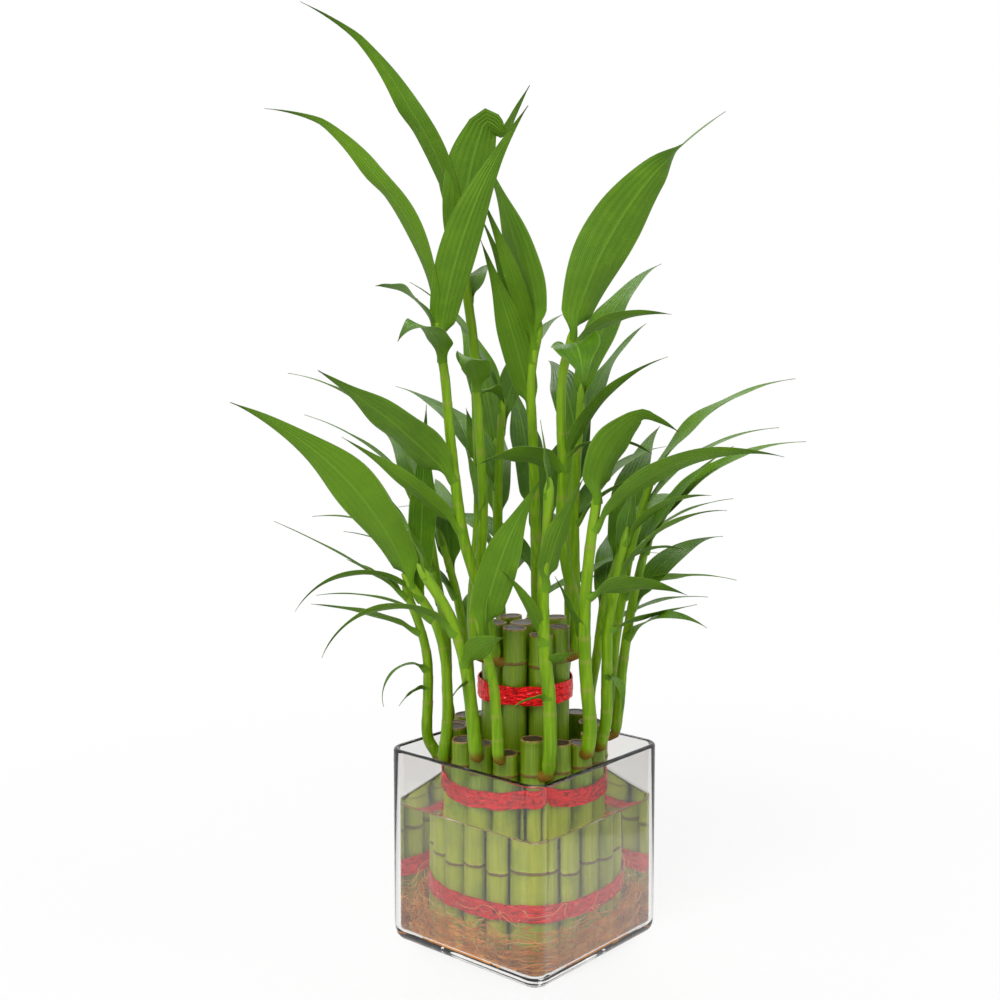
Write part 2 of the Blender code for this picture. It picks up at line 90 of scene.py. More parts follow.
def square_ring(half, corner, z, steps=10):
    """A square with round corners, as points."""
    ring = []
    for quarter in range(4):
        turn = Matrix.Rotation(math.radians(90 * quarter), 3, "Z")
        centre = turn @ Vector((half - corner, half - corner, z))
        ring += [centre + polar(corner, 90 * quarter + 90 * step / steps) for step in range(steps + 1)]
    return ring


def add_piece(name, mesh, slot, nodes):
    """A piece of the object on its one body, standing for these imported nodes."""
    piece = bpy.data.objects.new(name, mesh)
    bpy.context.scene.collection.objects.link(piece)
    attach(piece, "root")
    if nodes:
        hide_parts(*nodes)


def make_piece(name, points, faces, material, slot, nodes, marks=(), turn=None, sharp=40):
    """A closed smooth piece from points in millimetres.

    marks are values stored at its points, by name, for its material. Edges past sharp degrees stay sharp.
    """
    mesh = bpy.data.meshes.new(name)
    mesh.from_pydata([(turn @ point if turn else point) * MM for point in points], [], faces)
    sewn = bmesh.new()
    sewn.from_mesh(mesh)
    bmesh.ops.recalc_face_normals(sewn, faces=sewn.faces)
    sewn.to_mesh(mesh)
    sewn.free()
    for mark, values in dict(marks).items():
        mesh.attributes.new(mark, "FLOAT", "POINT").data.foreach_set("value", values)
    mesh.shade_smooth()
    mesh.set_sharp_from_angle(angle=math.radians(sharp))
    mesh.materials.append(material)
    add_piece(name, mesh, slot, nodes)


class Tree:
    """A node tree as it is put together."""

    def __init__(self, tree):
        self.tree = tree

    def join(self, socket, value):
        value = value.socket if isinstance(value, Number) else value
        if isinstance(value, bpy.types.NodeSocket):
            self.tree.links.new(value, socket)
        elif socket.type == "RGBA":
            socket.default_value = (*value[:3], 1.0)
        else:
            socket.default_value = value

    def node(self, kind, settings=(), inputs=()):
        """A node of this kind, with its settings made and its inputs filled or joined."""
        node = self.tree.nodes.new(kind)
        for name, value in dict(settings).items():
            setattr(node, name, value)
        for name, value in dict(inputs).items():
            self.join(node.inputs[name], value)
        return node

    def number(self, node, output=0):
        return Number(self, node.outputs[output])


class Number:
    """A value that varies from point to point. A sum on it adds a Math node to its tree."""

    def __init__(self, tree, socket):
        self.tree, self.socket = tree, socket

    def math(self, operation, *values):
        node = self.tree.node("ShaderNodeMath", {"operation": operation}, dict(enumerate(values)))
        return self.tree.number(node)

    def __add__(self, other):
        return self.math("ADD", self, other)

    def __radd__(self, other):
        return self.math("ADD", other, self)

    def __sub__(self, other):
        return self.math("SUBTRACT", self, other)

    def __rsub__(self, other):
        return self.math("SUBTRACT", other, self)

    def __mul__(self, other):
        return self.math("MULTIPLY", self, other)

    def __rmul__(self, other):
        return self.math("MULTIPLY", other, self)

    def __abs__(self):
        return self.math("ABSOLUTE", self)

    def sine(self):
        return self.math("SINE", self)

    def cosine(self):
        return self.math("COSINE", self)

    def most(self, other):
        return self.math("MAXIMUM", self, other)

    def least(self, other):
        return self.math("MINIMUM", self, other)

    def ramp(self, low, high):
        """0 where the value is low, 1 where it is high, and an easy curve between them."""
        limits = {"Value": self, "From Min": low, "From Max": high}
        eased = self.tree.node("ShaderNodeMapRange", {"interpolation_type": "SMOOTHSTEP"}, limits)
        return self.tree.number(eased)


class Look(Tree):
    """A material as it is put together, on one Principled shader."""

    def __init__(self, name, values):
        self.material = bpy.data.materials.new(name)
        self.material.use_nodes = True
        super().__init__(self.material.node_tree)
        self.shader = self.tree.nodes["Principled BSDF"]
        for socket, value in values.items():
            self.set(socket, value)

    def set(self, socket, value):
        self.join(self.shader.inputs[socket], value)

    def mark(self, name):
        """A value that the mesh stores at its points."""
        return self.number(self.node("ShaderNodeAttribute", {"attribute_name": name}), "Fac")

    def place(self):
        return self.node("ShaderNodeTexCoord").outputs["Object"]

    def height(self):
        return self.number(self.node("ShaderNodeSeparateXYZ", {}, {0: self.place()}), "Z")

    def noise(self, scale, detail=2.0, stretch=(1, 1, 1)):
        """Noise from 0 to 1 in the object's own space, with scale features to the metre.

        A stretch under 1 draws the features out along that axis.
        """
        place = self.node("ShaderNodeVectorMath", {"operation": "MULTIPLY"}, {0: self.place(), 1: stretch})
        inputs = {"Vector": place.outputs[0], "Scale": scale, "Detail": detail}
        return self.number(self.node("ShaderNodeTexNoise", {}, inputs), "Fac")

    def mix(self, share, first, second):
        """One colour at share 0 and the other at 1."""
        return self.node("ShaderNodeMix", {"data_type": "RGBA"}, {0: share, 6: first, 7: second}).outputs[2]

    def bump(self, height, distance):
        bump = self.node("ShaderNodeBump", {}, {"Height": height, "Distance": distance})
        self.set("Normal", bump.outputs[0])

    def surface(self, share, other):
        """Mixes another shader with this one, as the surface."""
        shaders = {0: share, 1: self.shader.outputs[0], 2: other.outputs[0]}
        both = self.node("ShaderNodeMixShader", {}, shaders)
        self.tree.links.new(both.outputs[0], self.tree.nodes["Material Output"].inputs["Surface"])

    def let_light_through(self, colour):
        """Shadow rays pass straight through, so that what stands behind clear glass or water is lit."""
        clear = self.node("ShaderNodeBsdfTransparent", {}, {"Color": colour})
        self.surface(self.node("ShaderNodeLightPath").outputs["Is Shadow Ray"], clear)


vase_half, vase_height, wall, vase_floor = 47.2, 95.0, 3.0, 5.2
# Radii of the upright corners, of the bottom edge outside and inside, and how high the rim is rounded.
outer_corner, outer_base, inner_base, lip = 9.0, 7.0, 2.5, 1.3
least_outer_corner, least_inner_corner = 2.2, 2.0
shell = []
for step in range(9):
    bend = math.radians(90 * step / 8)
    inset = outer_base * (1 - math.sin(bend))
    corner = max(outer_corner - inset, least_outer_corner)
    shell.append(square_ring(vase_half - inset, corner, outer_base * (1 - math.cos(bend))))
for step in range(9):
    bend = math.radians(180 * step / 8)
    inset = wall / 2 * (1 - math.cos(bend))
    rise = vase_height - lip * (1 - math.sin(bend))
    shell.append(square_ring(vase_half - inset, outer_corner - inset, rise))
for step in range(6, -1, -1):
    bend = math.radians(90 * step / 6)
    inset = wall + inner_base * (1 - math.sin(bend))
    corner = max(outer_corner - inset, least_inner_corner)
    shell.append(square_ring(vase_half - inset, corner, vase_floor + inner_base * (1 - math.cos(bend))))
glass = Look("vase_glass", {"Base Color": (0.90, 0.89, 0.875), "Roughness": 0.0, "IOR": 1.5,
                            "Transmission Weight": 1.0})
glass.let_light_through((0.9, 0.91, 0.905))
make_piece("vase", *loft(shell), glass.material, "vase_glass", ["glass_vase"], sharp=30)

# ---------------------------------------------------------------------------------------------------
# Water
# Clear water, with a faint warm tint from the roots. It fills the vase to a little over two thirds. It is
# one body that the canes stand in, and its top edge climbs the glass.
# ---------------------------------------------------------------------------------------------------
water_half, water_corner, water_base, water_foot, water_top = 43.95, 5.75, 2.4, 5.45, 67.0
body = []
for step in range(5):
    bend = math.radians(90 * step / 4)
    inset = water_base * (1 - math.sin(bend))
    height = water_foot + water_base * (1 - math.cos(bend))
    body.append(square_ring(water_half - inset, water_corner - inset, height))
# How far in from the glass, and how high above the water's level, its top edge is as it climbs.
for inset, rise in ((0.0, 1.5), (0.25, 0.85), (0.7, 0.4), (1.4, 0.12), (2.6, 0.0)):
    body.append(square_ring(water_half - inset, water_corner - inset, water_top + rise))
water = Look("water", {"Base Color": (0.97, 0.97, 0.93), "Roughness": 0.0, "IOR": 1.333,
                       "Transmission Weight": 1.0})
water.let_light_through((0.95, 0.95, 0.9))
make_piece("water_body", *loft(body), water.material, "water", ["water"], sharp=50)

# ---------------------------------------------------------------------------------------------------
# Canes
# Lengths of live stem, sawn flat and sealed: 17 short ones round 8 long ones round a core. The bark is
# yellow-green with fine upright streaks, and every old leaf joint is a raised brown scar.
# ---------------------------------------------------------------------------------------------------
# The radius of each tier's ring, and the compass of its first cane.
outer_ring, outer_first, inner_ring, inner_first = 34.0, -85.0, 16.1, -109.0
cane_radius, cane_foot = 5.8, 5.5
outer_tops = (108, 105, 103, 104, 106, 103, 105, 102, 104, 106, 103, 105, 104, 106, 103, 104, 101)
inner_tops = (155.5, 152, 154, 156, 153, 155, 154, 156)
tiers = (("outer", outer_ring, outer_first, outer_tops, (46.0, 91.0)),
         ("inner", inner_ring, inner_first, inner_tops, (52.0, 96.0, 138.0)))
canes = {}
for tier, ring, first, tops, joints in tiers:
    for i, top in enumerate(tops):
        centre = polar(ring, first + 360 * i / len(tops))
        canes[f"{tier}_cane_{i + 1:02d}"] = (centre, cane_radius, top, joints)
canes["core_cane"] = (Vector((0, 0, 0)), 7.5, 155.0, (60.0, 110.0))

bark = Look("cane_bark", {"Roughness": 0.36, "Specular IOR Level": 0.5})
scar, sawn = bark.mark("scar"), bark.mark("sawn")
streaks = bark.noise(900, 3, (1, 1, 0.04)).ramp(0.38, 0.66)
blotches = bark.noise(90, 3)
wet = bark.mix(streaks * 0.55, (0.40, 0.47, 0.006), (0.56, 0.60, 0.03))
dry = bark.mix(streaks * 0.6, (0.14, 0.25, 0.002), (0.25, 0.36, 0.008))
green = bark.mix((bark.height() + blotches * 0.03).ramp(0.068, 0.11), wet, dry)
green = bark.mix(blotches.ramp(0.45, 0.75) * 0.4, green, (0.15, 0.26, 0.008))
scar_edge = (scar + bark.noise(700, 2) * 0.5 - 0.25).ramp(0.42, 0.7)
green = bark.mix(scar_edge * 0.85, green, (0.17, 0.07, 0.012))
flesh = bark.mix(bark.noise(600, 3).ramp(0.35, 0.7), (0.06, 0.035, 0.015), (0.012, 0.009, 0.007))
rim_brown = bark.mix(bark.noise(400, 2).ramp(0.4, 0.6), (0.36, 0.22, 0.06), (0.18, 0.09, 0.02))
top_face = bark.mix(sawn.ramp(0.5, 0.95), rim_brown, flesh)
bark.set("Base Color", bark.mix(sawn.ramp(0.1, 0.45), green, top_face))
bark.bump(scar_edge * 0.6 + streaks * 0.25 + bark.noise(1500, 2) * 0.3, 0.0004)

cane_sides = 28
# Rings over the sawn top, as the share of the radius, the depth below the top, and the sawn mark: the
# bark's edge is rounded, and the dark flesh has sunk a little inside a pale brown rim.
sawn_rings = ((1.0, 1.5, 0.0), (1.0, 0.5, 0.3), (0.965, 0.05, 0.45), (0.86, 0.0, 0.55), (0.8, 0.35, 1.0),
              (0.4, 0.5, 1.0))
for number, (name, (centre, radius, top, joints)) in enumerate(canes.items()):
    pick = random.Random(number)
    heights = [cane_foot + (top - 1.6 - cane_foot) * i / 40 for i in range(41)]
    shifted = [joint + pick.uniform(-1.5, 1.5) for joint in joints]
    for joint in shifted:
        heights += [joint + offset for offset in (-3, -1.8, -1.1, -0.6, -0.2, 0.2, 0.6, 1.1, 1.8, 3)]
    heights = sorted(height for height in heights if height < top - 1.5)
    rings, scars, cuts = [], [], []
    # No saw cut is quite level.
    slant = Vector((pick.uniform(-0.5, 0.5), pick.uniform(-0.5, 0.5), 0))
    for height in heights:
        near = min(abs(height - joint) for joint in shifted)
        swell = 0.35 * math.exp(-(near / 1.0) ** 2)
        ring = []
        for k in range(cane_sides):
            degrees = 360 * k / cane_sides
            spot = centre + polar(radius, degrees, height)
            wobble = 0.12 * noise.noise(spot * 0.12)
            ring.append(centre + polar(radius - 0.12 + swell + wobble, degrees, height))
            wave = height + 0.5 * noise.noise(centre + polar(3, degrees, number))
            scars.append(max(math.exp(-((wave - joint) / 0.9) ** 2) for joint in shifted))
        rings.append(ring)
        cuts += [0.0] * cane_sides
    for share, drop, mark in sawn_rings:
        ring = []
        for k in range(cane_sides):
            spot = polar(radius * share - 0.1, 360 * k / cane_sides)
            ring.append(centre + spot + Vector((0, 0, top - drop + 0.1 * spot.dot(slant) * (drop < 1.5))))
        rings.append(ring)
        scars += [0.0] * cane_sides
        cuts += [mark] * cane_sides
    make_piece(name.replace("cane", "stalk"), *loft(rings), bark.material, "cane", [name],
               {"scar": scars, "sawn": cuts}, TURN, sharp=50)

# ---------------------------------------------------------------------------------------------------
# Ribbons
# Bright red metallic foil, pulled tight round the canes: two bands on the outer tier and one on the
# inner tier. Each is a closed band, creased by hand, and left without its knot.
# ---------------------------------------------------------------------------------------------------


def ribbon_radius(degrees):
    """How far out a band lies that is pulled tight round the outer tier."""
    pitch = 360 / len(outer_tops)
    off = (degrees - outer_first + pitch / 2) % pitch - pitch / 2
    return outer_ring * math.cos(math.radians(off)) + cane_radius


def foil_band(name, low, high, radius_at, seed, nodes):
    """A closed band between two heights, creased across its width."""
    rings, gap, thickness = [], 0.35, 0.45
    for i in range(720):
        degrees = 0.5 * i
        radius = radius_at(degrees) + gap
        ring = []
        for side in (0.0, thickness):
            steps = range(13) if side else range(12, -1, -1)
            for step in steps:
                share = step / 12
                spot = polar(radius, degrees, 0)
                crease = noise.noise(Vector((spot.x * 0.35, spot.y * 0.35, share * 1.2 + seed)))
                fine = noise.noise(Vector((spot.x * 0.9, spot.y * 0.9, share * 2.5 + seed)))
                edge = 0.7 * noise.noise(spot * 0.12 + Vector((0, 0, seed + share)))
                height = mixed(low, high, share) + edge * (1 if share > 0.5 else -1) * abs(2 * share - 1)
                ring.append(polar(radius + side + 0.45 * abs(crease) + 0.22 * fine, degrees, height))
        rings.append(ring)
    make_piece(name, *loft(rings, capped=False), foil.material, "ribbon_foil", nodes, turn=TURN, sharp=35)


foil = Look("ribbon_foil", {"Metallic": 0.6, "Roughness": 0.24})
creases = foil.noise(330, 4, (1, 1, 2.2))
# Painted shade: the foil is dark red where the crease noise is low, as if its creases lay in shadow, and
# bright red elsewhere.
red_with_painted_crease_shade = foil.mix(creases.ramp(0.3, 0.52), (0.3, 0.0, 0.0), (0.85, 0.002, 0.003))
# Painted glints: pale pink where the crease noise is highest, standing in for highlights on the crease
# ridges.
foil.set("Base Color", foil.mix(creases.ramp(0.66, 0.74), red_with_painted_crease_shade, (0.95, 0.38, 0.33)))
foil.bump(creases, 0.0012)
foil_band("upper_band", 74.5, 82.5, ribbon_radius, 1.0, ["upper_ribbon"])
foil_band("lower_band", 25.0, 33.0, ribbon_radius, 5.0, ["lower_ribbon"])
foil_band("inner_band", 120.0, 129.0, lambda degrees: inner_ring + cane_radius - 0.1, 9.0, ["inner_ribbon"])

# ---------------------------------------------------------------------------------------------------
# Shoots
# Side stems that grew from the canes' top joints. Each stem is round and pale green, and wrapped by
# the sheaths of its leaves. The leaves are long, glossy and pointed, with fine parallel veins. A stem and
# its leaves are one piece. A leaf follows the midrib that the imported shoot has, up to its first fold.
# ---------------------------------------------------------------------------------------------------


def smooth_route(points, steps):
    """Points on a Catmull-Rom curve through the given ones."""
    points = [Vector(point) for point in points]
    ends = [2 * points[0] - points[1]] + points + [2 * points[-1] - points[-2]]
    route = []
    for a, b, c, d in zip(ends, ends[1:], ends[2:], ends[3:]):
        for i in range(steps):
            t = i / steps
            route.append(0.5 * (2 * b + (c - a) * t + (2 * a - 5 * b + 4 * c - d) * t * t
                                + (3 * b - a - 3 * c + d) * t ** 3))
    return route + [points[-1]]


class Leaf(NamedTuple):
    """One leaf: where it leaves the stem, where it points, and how it bends.

    Compass is 0 to the right, 90 to the back, 180 to the left and -90 to the front.
    """

    height: float
    compass: float
    rise: float
    droop: float
    length: float
    width: float
    roll: float = 0.0
    folds: tuple = ()  # (share of the length, turn, lift, roll) of each sharp bend


class Shoot(NamedTuple):
    """A side stem: the cane it grew from, its radius, its route from where it turns up, and its leaves."""

    tier: str
    cane: int
    radius: float
    route: tuple
    leaves: tuple


shoots = (
    Shoot("outer", 0, 3.2,
          ((10, -40.5, 96), (10.6, -41.5, 108), (10, -41, 130), (8, -40, 151), (7.4, -37, 180), (9, -34, 200),
           (10, -33, 222)),
          (Leaf(129, -159, 13, 60, 24, 6, 30), Leaf(143, -9, 41, 30, 16, 8, -30),
           Leaf(153, -163, 77, 35, 42, 7, 60), Leaf(177, 13, 80, 20, 54, 15, -75),
           Leaf(218, 126, 85, 10, 36, 9, 60))),
    Shoot("outer", 2, 3.2,
          ((28.5, -31.8, 103.5), (29.2, -32, 115), (27, -32, 140), (26.5, -31, 165), (28.5, -29, 192),
           (32, -26, 217)),
          (Leaf(148, 150, 72, 15, 37, 12, 60), Leaf(173, 4, 25, 50, 48, 13, -45),
           Leaf(203, 7, 55, 70, 101, 14, -40), Leaf(215, 6, 93, 85, 66, 24, -65, ((0.72, 0, -45, 30),)))),
    Shoot("outer", 3, 2.8,
          ((35.5, -21, 103.5), (37.3, -22, 114), (37.4, -22, 135), (38, -21, 158), (42, -18, 178),
           (46, -15, 197)),
          (Leaf(134, -62, 27, 160, 27, 6, -20), Leaf(156, 11, 17, 8, 44, 5, -30),
           Leaf(176, 15, 66, 70, 68, 8, -40), Leaf(185, 30, 32, 50, 38, 7, -30),
           Leaf(187, 66, 66, 10, 45, 12, -30), Leaf(194, 7, 64, 70, 50, 9, -45))),
    Shoot("outer", 16, 2.7,
          ((-12.9, -41.6, 103.5), (-13.5, -41, 118), (-15, -40, 135), (-18, -39, 148), (-21, -38, 161)),
          (Leaf(152, 49, 82, 15, 48, 10, -50), Leaf(157, 6, 87, 25, 77, 19, -80))),
    Shoot("outer", 15, 3.2,
          ((-23.2, -36.4, 103.5), (-24.7, -36, 120), (-27, -36, 138), (-30, -36, 152), (-36, -36, 168),
           (-46, -35, 184)),
          (Leaf(134, -122, 13, 60, 15, 6, 30), Leaf(143, -16, 51, 40, 34, 12, -60),
           Leaf(157, -174, 51, 120, 74, 8, 40), Leaf(182, 149, 72, 30, 50, 15, 30))),
    Shoot("outer", 13, 2.7,
          ((-38.6, -14.4, 94), (-37, -14, 107), (-36.6, -14, 124), (-38, -14, 142), (-42, -14, 157),
           (-48, -14, 168), (-54, -14, 176)),
          (Leaf(159, 172, 30, 40, 58, 6, 35), Leaf(168, 180, 50, 110, 70, 6, 40),
           Leaf(170, 81, 81, 5, 90, 14, 0), Leaf(174, 180, 71, 50, 124, 24, 55))),
    Shoot("outer", 12, 2.7,
          ((-42.6, 4.5, 89), (-47, 2.5, 99), (-46.6, 1, 117), (-46.6, 0, 136), (-50, 0, 152), (-56, 1, 168)),
          (Leaf(123, -147, 6, 60, 18, 6, 20), Leaf(132, -149, 42, 150, 38, 4, 0),
           Leaf(150, 174, 23, 20, 55, 8, 50), Leaf(166, 155, 33, 15, 38, 12, 45),
           Leaf(167, 172, 34, 12, 74, 6, 40))),
    Shoot("inner", 0, 2.8,
          ((-14.3, -17.7, 144), (-17, -20, 157), (-21.5, -21, 174), (-28.5, -22, 198), (-32, -22, 221),
           (-35, -20, 248), (-37, -18, 271), (-39.5, -17, 287), (-41, -16, 297)),
          (Leaf(202, -176, 46, 15, 70, 11, 50), Leaf(225, -159, 47, 16, 82, 24, 43),
           Leaf(279, -121, 81, 130, 46, 20, 0), Leaf(286.5, -12, 84, 30, 115, 19, -78),
           Leaf(291, 143, 66, 70, 47, 20, 37),
           Leaf(297, 174, 89, 80, 135, 12, 40, ((0.55, 0, 10, 40), (0.8, 0, -14, -30))))),
    Shoot("inner", 6, 3.0,
          ((-24.4, 8, 144), (-25, 9, 160), (-22, 8, 204), (-22.5, 6, 241), (-24, 6, 281), (-27, 6, 307),
           (-30, 7, 332)),
          (Leaf(227, 161, 83, 10, 30, 11, 70), Leaf(306, 65, 65, 60, 34, 11, 0),
           Leaf(325, -11, 94, 40, 100, 24, -80, ((0.66, 0, -105, 0), (0.76, 12, 110, 40))),
           Leaf(328.5, 158, 77, 15, 62, 7, 60),
           Leaf(332, -174, 84, 60, 138, 12, 40, ((0.5, 0, 8, 45), (0.78, 0, -8, -35))))),
    Shoot("inner", 7, 2.6,
          ((-23.5, -10.1, 144), (-24, -10, 160), (-20, -6, 204), (-21.3, -8, 242), (-23, -8, 268)),
          (Leaf(205, 131, 76, 15, 37, 14, 60), Leaf(263, 57, 32, 90, 27, 11, 0),
           Leaf(265, -112, 86, 130, 40, 18, 0))),
    Shoot("inner", 2, 2.8,
          ((24.2, -8.2, 144), (24.5, -9, 158), (17, -7, 196), (17.3, -8, 228), (16.3, -8, 252), (17, -8, 273),
           (21, -8, 290)),
          (Leaf(228, -5, 78, 60, 75, 9, -40), Leaf(229, -153, 33, 55, 46, 13, 50),
           Leaf(235, 32, 28, 60, 55, 10, -30), Leaf(284, -81, 34, 120, 44, 24, 0),
           Leaf(286, 16, 41, 50, 54, 11, -35), Leaf(289, 8, 78, 45, 130, 28, -65, ((0.74, 0, 0, 75),)))),
    Shoot("inner", 4, 2.8,
          ((6.3, 25.2, 144), (6, 24, 160), (5, 12, 200), (3.6, 6, 241), (2.6, 5, 270), (6, 5, 292)),
          (Leaf(254, -157, 77, 10, 85, 15, 60), Leaf(277, 170, 75, 10, 74, 11, 64),
           Leaf(284.5, -150, 72, 10, 78, 9, 55), Leaf(289, 156, 80, 15, 88, 23, 68))),
    Shoot("inner", 5, 2.6,
          ((-10.6, 23.3, 144), (-12, 25, 160), (-13, 24, 210), (-11, 22, 255)),
          (Leaf(215, 120, 60, 50, 70, 14, 0), Leaf(245, 60, 70, 60, 90, 18, 0),
           Leaf(253, 150, 75, 50, 85, 16, 30))),
    Shoot("inner", 3, 2.6,
          ((23.8, 10.6, 144), (24.5, 12, 160), (24, 15, 210), (27, 18, 262)),
          (Leaf(200, 20, 50, 60, 60, 12, -20), Leaf(235, 100, 60, 60, 85, 17, 0),
           Leaf(258, 50, 75, 60, 100, 19, 0))),
)


def back_shoot(cane, top, lean, leaf_count):
    """A shoot at the side or the back: it rises beside its cane and leans outwards."""
    pick = random.Random(7 + cane)
    way = outer_first + 360 * cane / len(outer_tops)
    reach = outer_ring + 9.6
    low = 103.5
    route = [polar(reach, way, low), polar(reach + 1.5, way, low + 12)]
    for share in (0.35, 0.7, 1.0):
        height = low + (top - low) * share
        route.append(polar(reach + 1.5 + lean * share ** 2, way + pick.uniform(-3, 3), height))
    leaves = []
    for i in range(leaf_count):
        share = (i + 1) / leaf_count
        height = low + (top - low) * (0.35 + 0.62 * share)
        side = 75 if i % 2 else -60
        leaves.append(Leaf(height, way + side * (1.15 - share) + pick.uniform(-15, 15),
                           35 + 40 * share, pick.uniform(45, 75), 48 + 50 * share * pick.uniform(0.8, 1.1),
                           9 + 10 * share))
    return Shoot("outer", cane, 2.6, tuple(tuple(point) for point in route), tuple(leaves))


def leaf_choices(leaf):
    """The leaf as planned, then turned, lifted or shortened by more and more."""
    changes = [(turn, lift) for turn in range(-40, 41, 5) for lift in range(-20, 21, 5)]
    changes.sort(key=lambda change: (change[0] ** 2 + 2 * change[1] ** 2, change))
    for share in (1.0, 0.9, 0.8, 0.65):
        for turn, lift in changes:
            yield leaf._replace(compass=leaf.compass + turn, rise=leaf.rise + lift,
                                length=leaf.length * share)


def leaf_spine(base, leaf, stations):
    """(point, way along, heading) of the midrib at shares of its length. Its pitch falls evenly."""

    def ahead(station):
        compass, pitch = leaf.compass, leaf.rise - leaf.droop * station
        for at, turn, lift, _ in leaf.folds:
            bent = smooth((station - at) / 0.06 + 0.5)
            compass, pitch = compass + turn * bent, pitch + lift * bent
        heading, pitch = math.radians(compass), math.radians(pitch)
        level = math.cos(pitch)
        return Vector((math.cos(heading) * level, math.sin(heading) * level, math.sin(pitch))), heading

    point, before, spine = base.copy(), 0.0, []
    for station in stations:
        point = point + ahead((station + before) / 2)[0] * leaf.length * (station - before)
        before = station
        spine.append((point, *ahead(station)))
    return spine


solid_stations, near_enough = (0.0, 0.14, 0.34, 0.57, 0.8, 1.0), 0.75


def settled(base, leaf, solid_points):
    """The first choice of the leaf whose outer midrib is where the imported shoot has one."""
    for choice in leaf_choices(leaf):
        spine = leaf_spine(base, choice._replace(folds=()), solid_stations)
        if all(solid_points.find(point)[2] < near_enough for point, _, _ in spine[3:]):
            return choice
    return None


def leaf_width(share):
    """Half the leaf's width at a share of its length, as a share of its greatest width.

    It swells quickly from the clasping base, and draws out into a long thin tip.
    """
    blade = 2.86 * share ** 0.78 * (1 - share) ** 1.18 * (1 - 0.42 * smooth((share - 0.45) / 0.4))
    return 0.5 * max(1.22 * blade + 0.3 * (1 - share) ** 8, 0.018)


def point_at_height(route, height):
    for low, high in zip(route, route[1:]):
        if low.z <= height <= high.z:
            return low.lerp(high, (height - low.z) / (high.z - low.z))
    return route[-1]


def leaf_blade(base, leaf, stem_radius, pick):
    """(points, faces, marks) of a thin leaf that clasps its stem and then spreads.

    Its cross-section is an arc: 250 degrees of one round the stem, then a shallow trough to the tip.
    """
    count = 40
    stations = [(i / count) ** 1.15 for i in range(count + 1)]
    hug = stem_radius + 0.15
    clasp = min(0.22, 12 / leaf.length)
    wave, wave_at, twist = pick.uniform(0.05, 0.13), pick.uniform(0, 6.3), pick.uniform(-22, 22)
    shares = [k / 5 for k in range(-5, 6)]
    rings, marks = [], {"across": [], "along": [], "under": []}
    for station, (point, along, heading) in zip(stations, leaf_spine(base, leaf, stations)):
        side = Vector((math.sin(heading), -math.cos(heading), 0))
        free = smooth(station / clasp)
        roll = leaf.roll * free + twist * math.sin(math.pi * station) * free
        roll += sum(extra * smooth((station - at) / 0.16 + 0.5) for at, _, _, extra in leaf.folds)
        across = Matrix.Rotation(math.radians(roll), 3, along) @ side
        up = across.cross(along)
        arc = mixed(math.radians(250), math.radians(46 - 26 * station), free)
        half = mixed(hug * arc / 2, leaf.width * leaf_width(station), free)
        radius = 2 * half / arc
        point = point - up * hug * (1 - free)
        thick = mixed(0.3, 0.14, station)
        top, under = [], []
        for share in shares:
            angle = share * arc / 2
            ripple = wave * half * free * share * abs(share) * math.sin(15 * station + wave_at + (share > 0))
            raised = radius * (1 - math.cos(angle)) + ripple
            spot = point + across * radius * math.sin(angle) + up * raised
            outward = up * math.cos(angle) - across * math.sin(angle)
            edge = thick * (1 - 0.6 * abs(share))
            top.append(spot + outward * edge)
            midrib = 1 + 1.2 * (share == 0) * (1 - station)
            under.append(spot - outward * edge * midrib)
        rings.append(top + under[::-1])
        marks["across"] += shares + shares[::-1]
        marks["along"] += [station] * 2 * len(shares)
        marks["under"] += [0.0] * len(shares) + [1.0] * len(shares)
    return *loft(rings), marks


leaf_look = Look("leaf", {"Specular IOR Level": 0.2})
across, along, under = leaf_look.mark("across"), leaf_look.mark("along"), leaf_look.mark("under")
tint, stem, joint = leaf_look.mark("tint"), leaf_look.mark("stem"), leaf_look.mark("joint")
veins = ((across * 92).sine() * 0.5 + 0.5) * (1 - along.ramp(0.3, 0.75))
broad = (across * 23 + tint * 9).sine() * 0.5 + 0.5
mottle = leaf_look.noise(120, 4)
blade = leaf_look.mix(tint, (0.036, 0.125, 0.0), (0.105, 0.25, 0.001))
blade = leaf_look.mix(mottle.ramp(0.4, 0.75) * 0.4, blade, (0.15, 0.31, 0.003))
blade = leaf_look.mix(veins * 0.14 + broad * 0.06, blade, (0.17, 0.34, 0.01))
blade = leaf_look.mix((1 - abs(across).ramp(0.015, 0.07)) * 0.8, blade, (0.15, 0.31, 0.02))
blade = leaf_look.mix(abs(across).ramp(0.93, 0.99) * 0.5, blade, (0.24, 0.36, 0.06))
blade = leaf_look.mix(under * 0.4, blade, (0.13, 0.26, 0.015))
blade = leaf_look.mix((1 - along.ramp(0.02, 0.2)) * 0.85, blade, (0.15, 0.33, 0.01))
blade = leaf_look.mix(along.ramp(0.965, 0.995), blade, (0.22, 0.13, 0.03))
fibres = leaf_look.noise(700, 2, (1, 1, 0.08)).ramp(0.35, 0.7)
stalk = leaf_look.mix(fibres, (0.13, 0.28, 0.002), (0.21, 0.38, 0.006))
stalk = leaf_look.mix(leaf_look.mark("height").ramp(0.55, 1.0) * 0.6, stalk, (0.24, 0.42, 0.02))
stalk = leaf_look.mix(joint * 0.55, stalk, (0.30, 0.30, 0.06))
browned = (leaf_look.mark("foot") + mottle * 0.5 - 0.2).ramp(0.2, 1.0)
stalk = leaf_look.mix(browned, stalk, (0.23, 0.12, 0.012))
leaf_look.set("Base Color", leaf_look.mix(stem, blade, stalk))
leaf_look.set("Roughness", 0.26 + mottle * 0.16 + under * 0.18)
leaf_look.bump(veins * 0.3 + broad * 0.5 + mottle * 0.9, 0.0004)

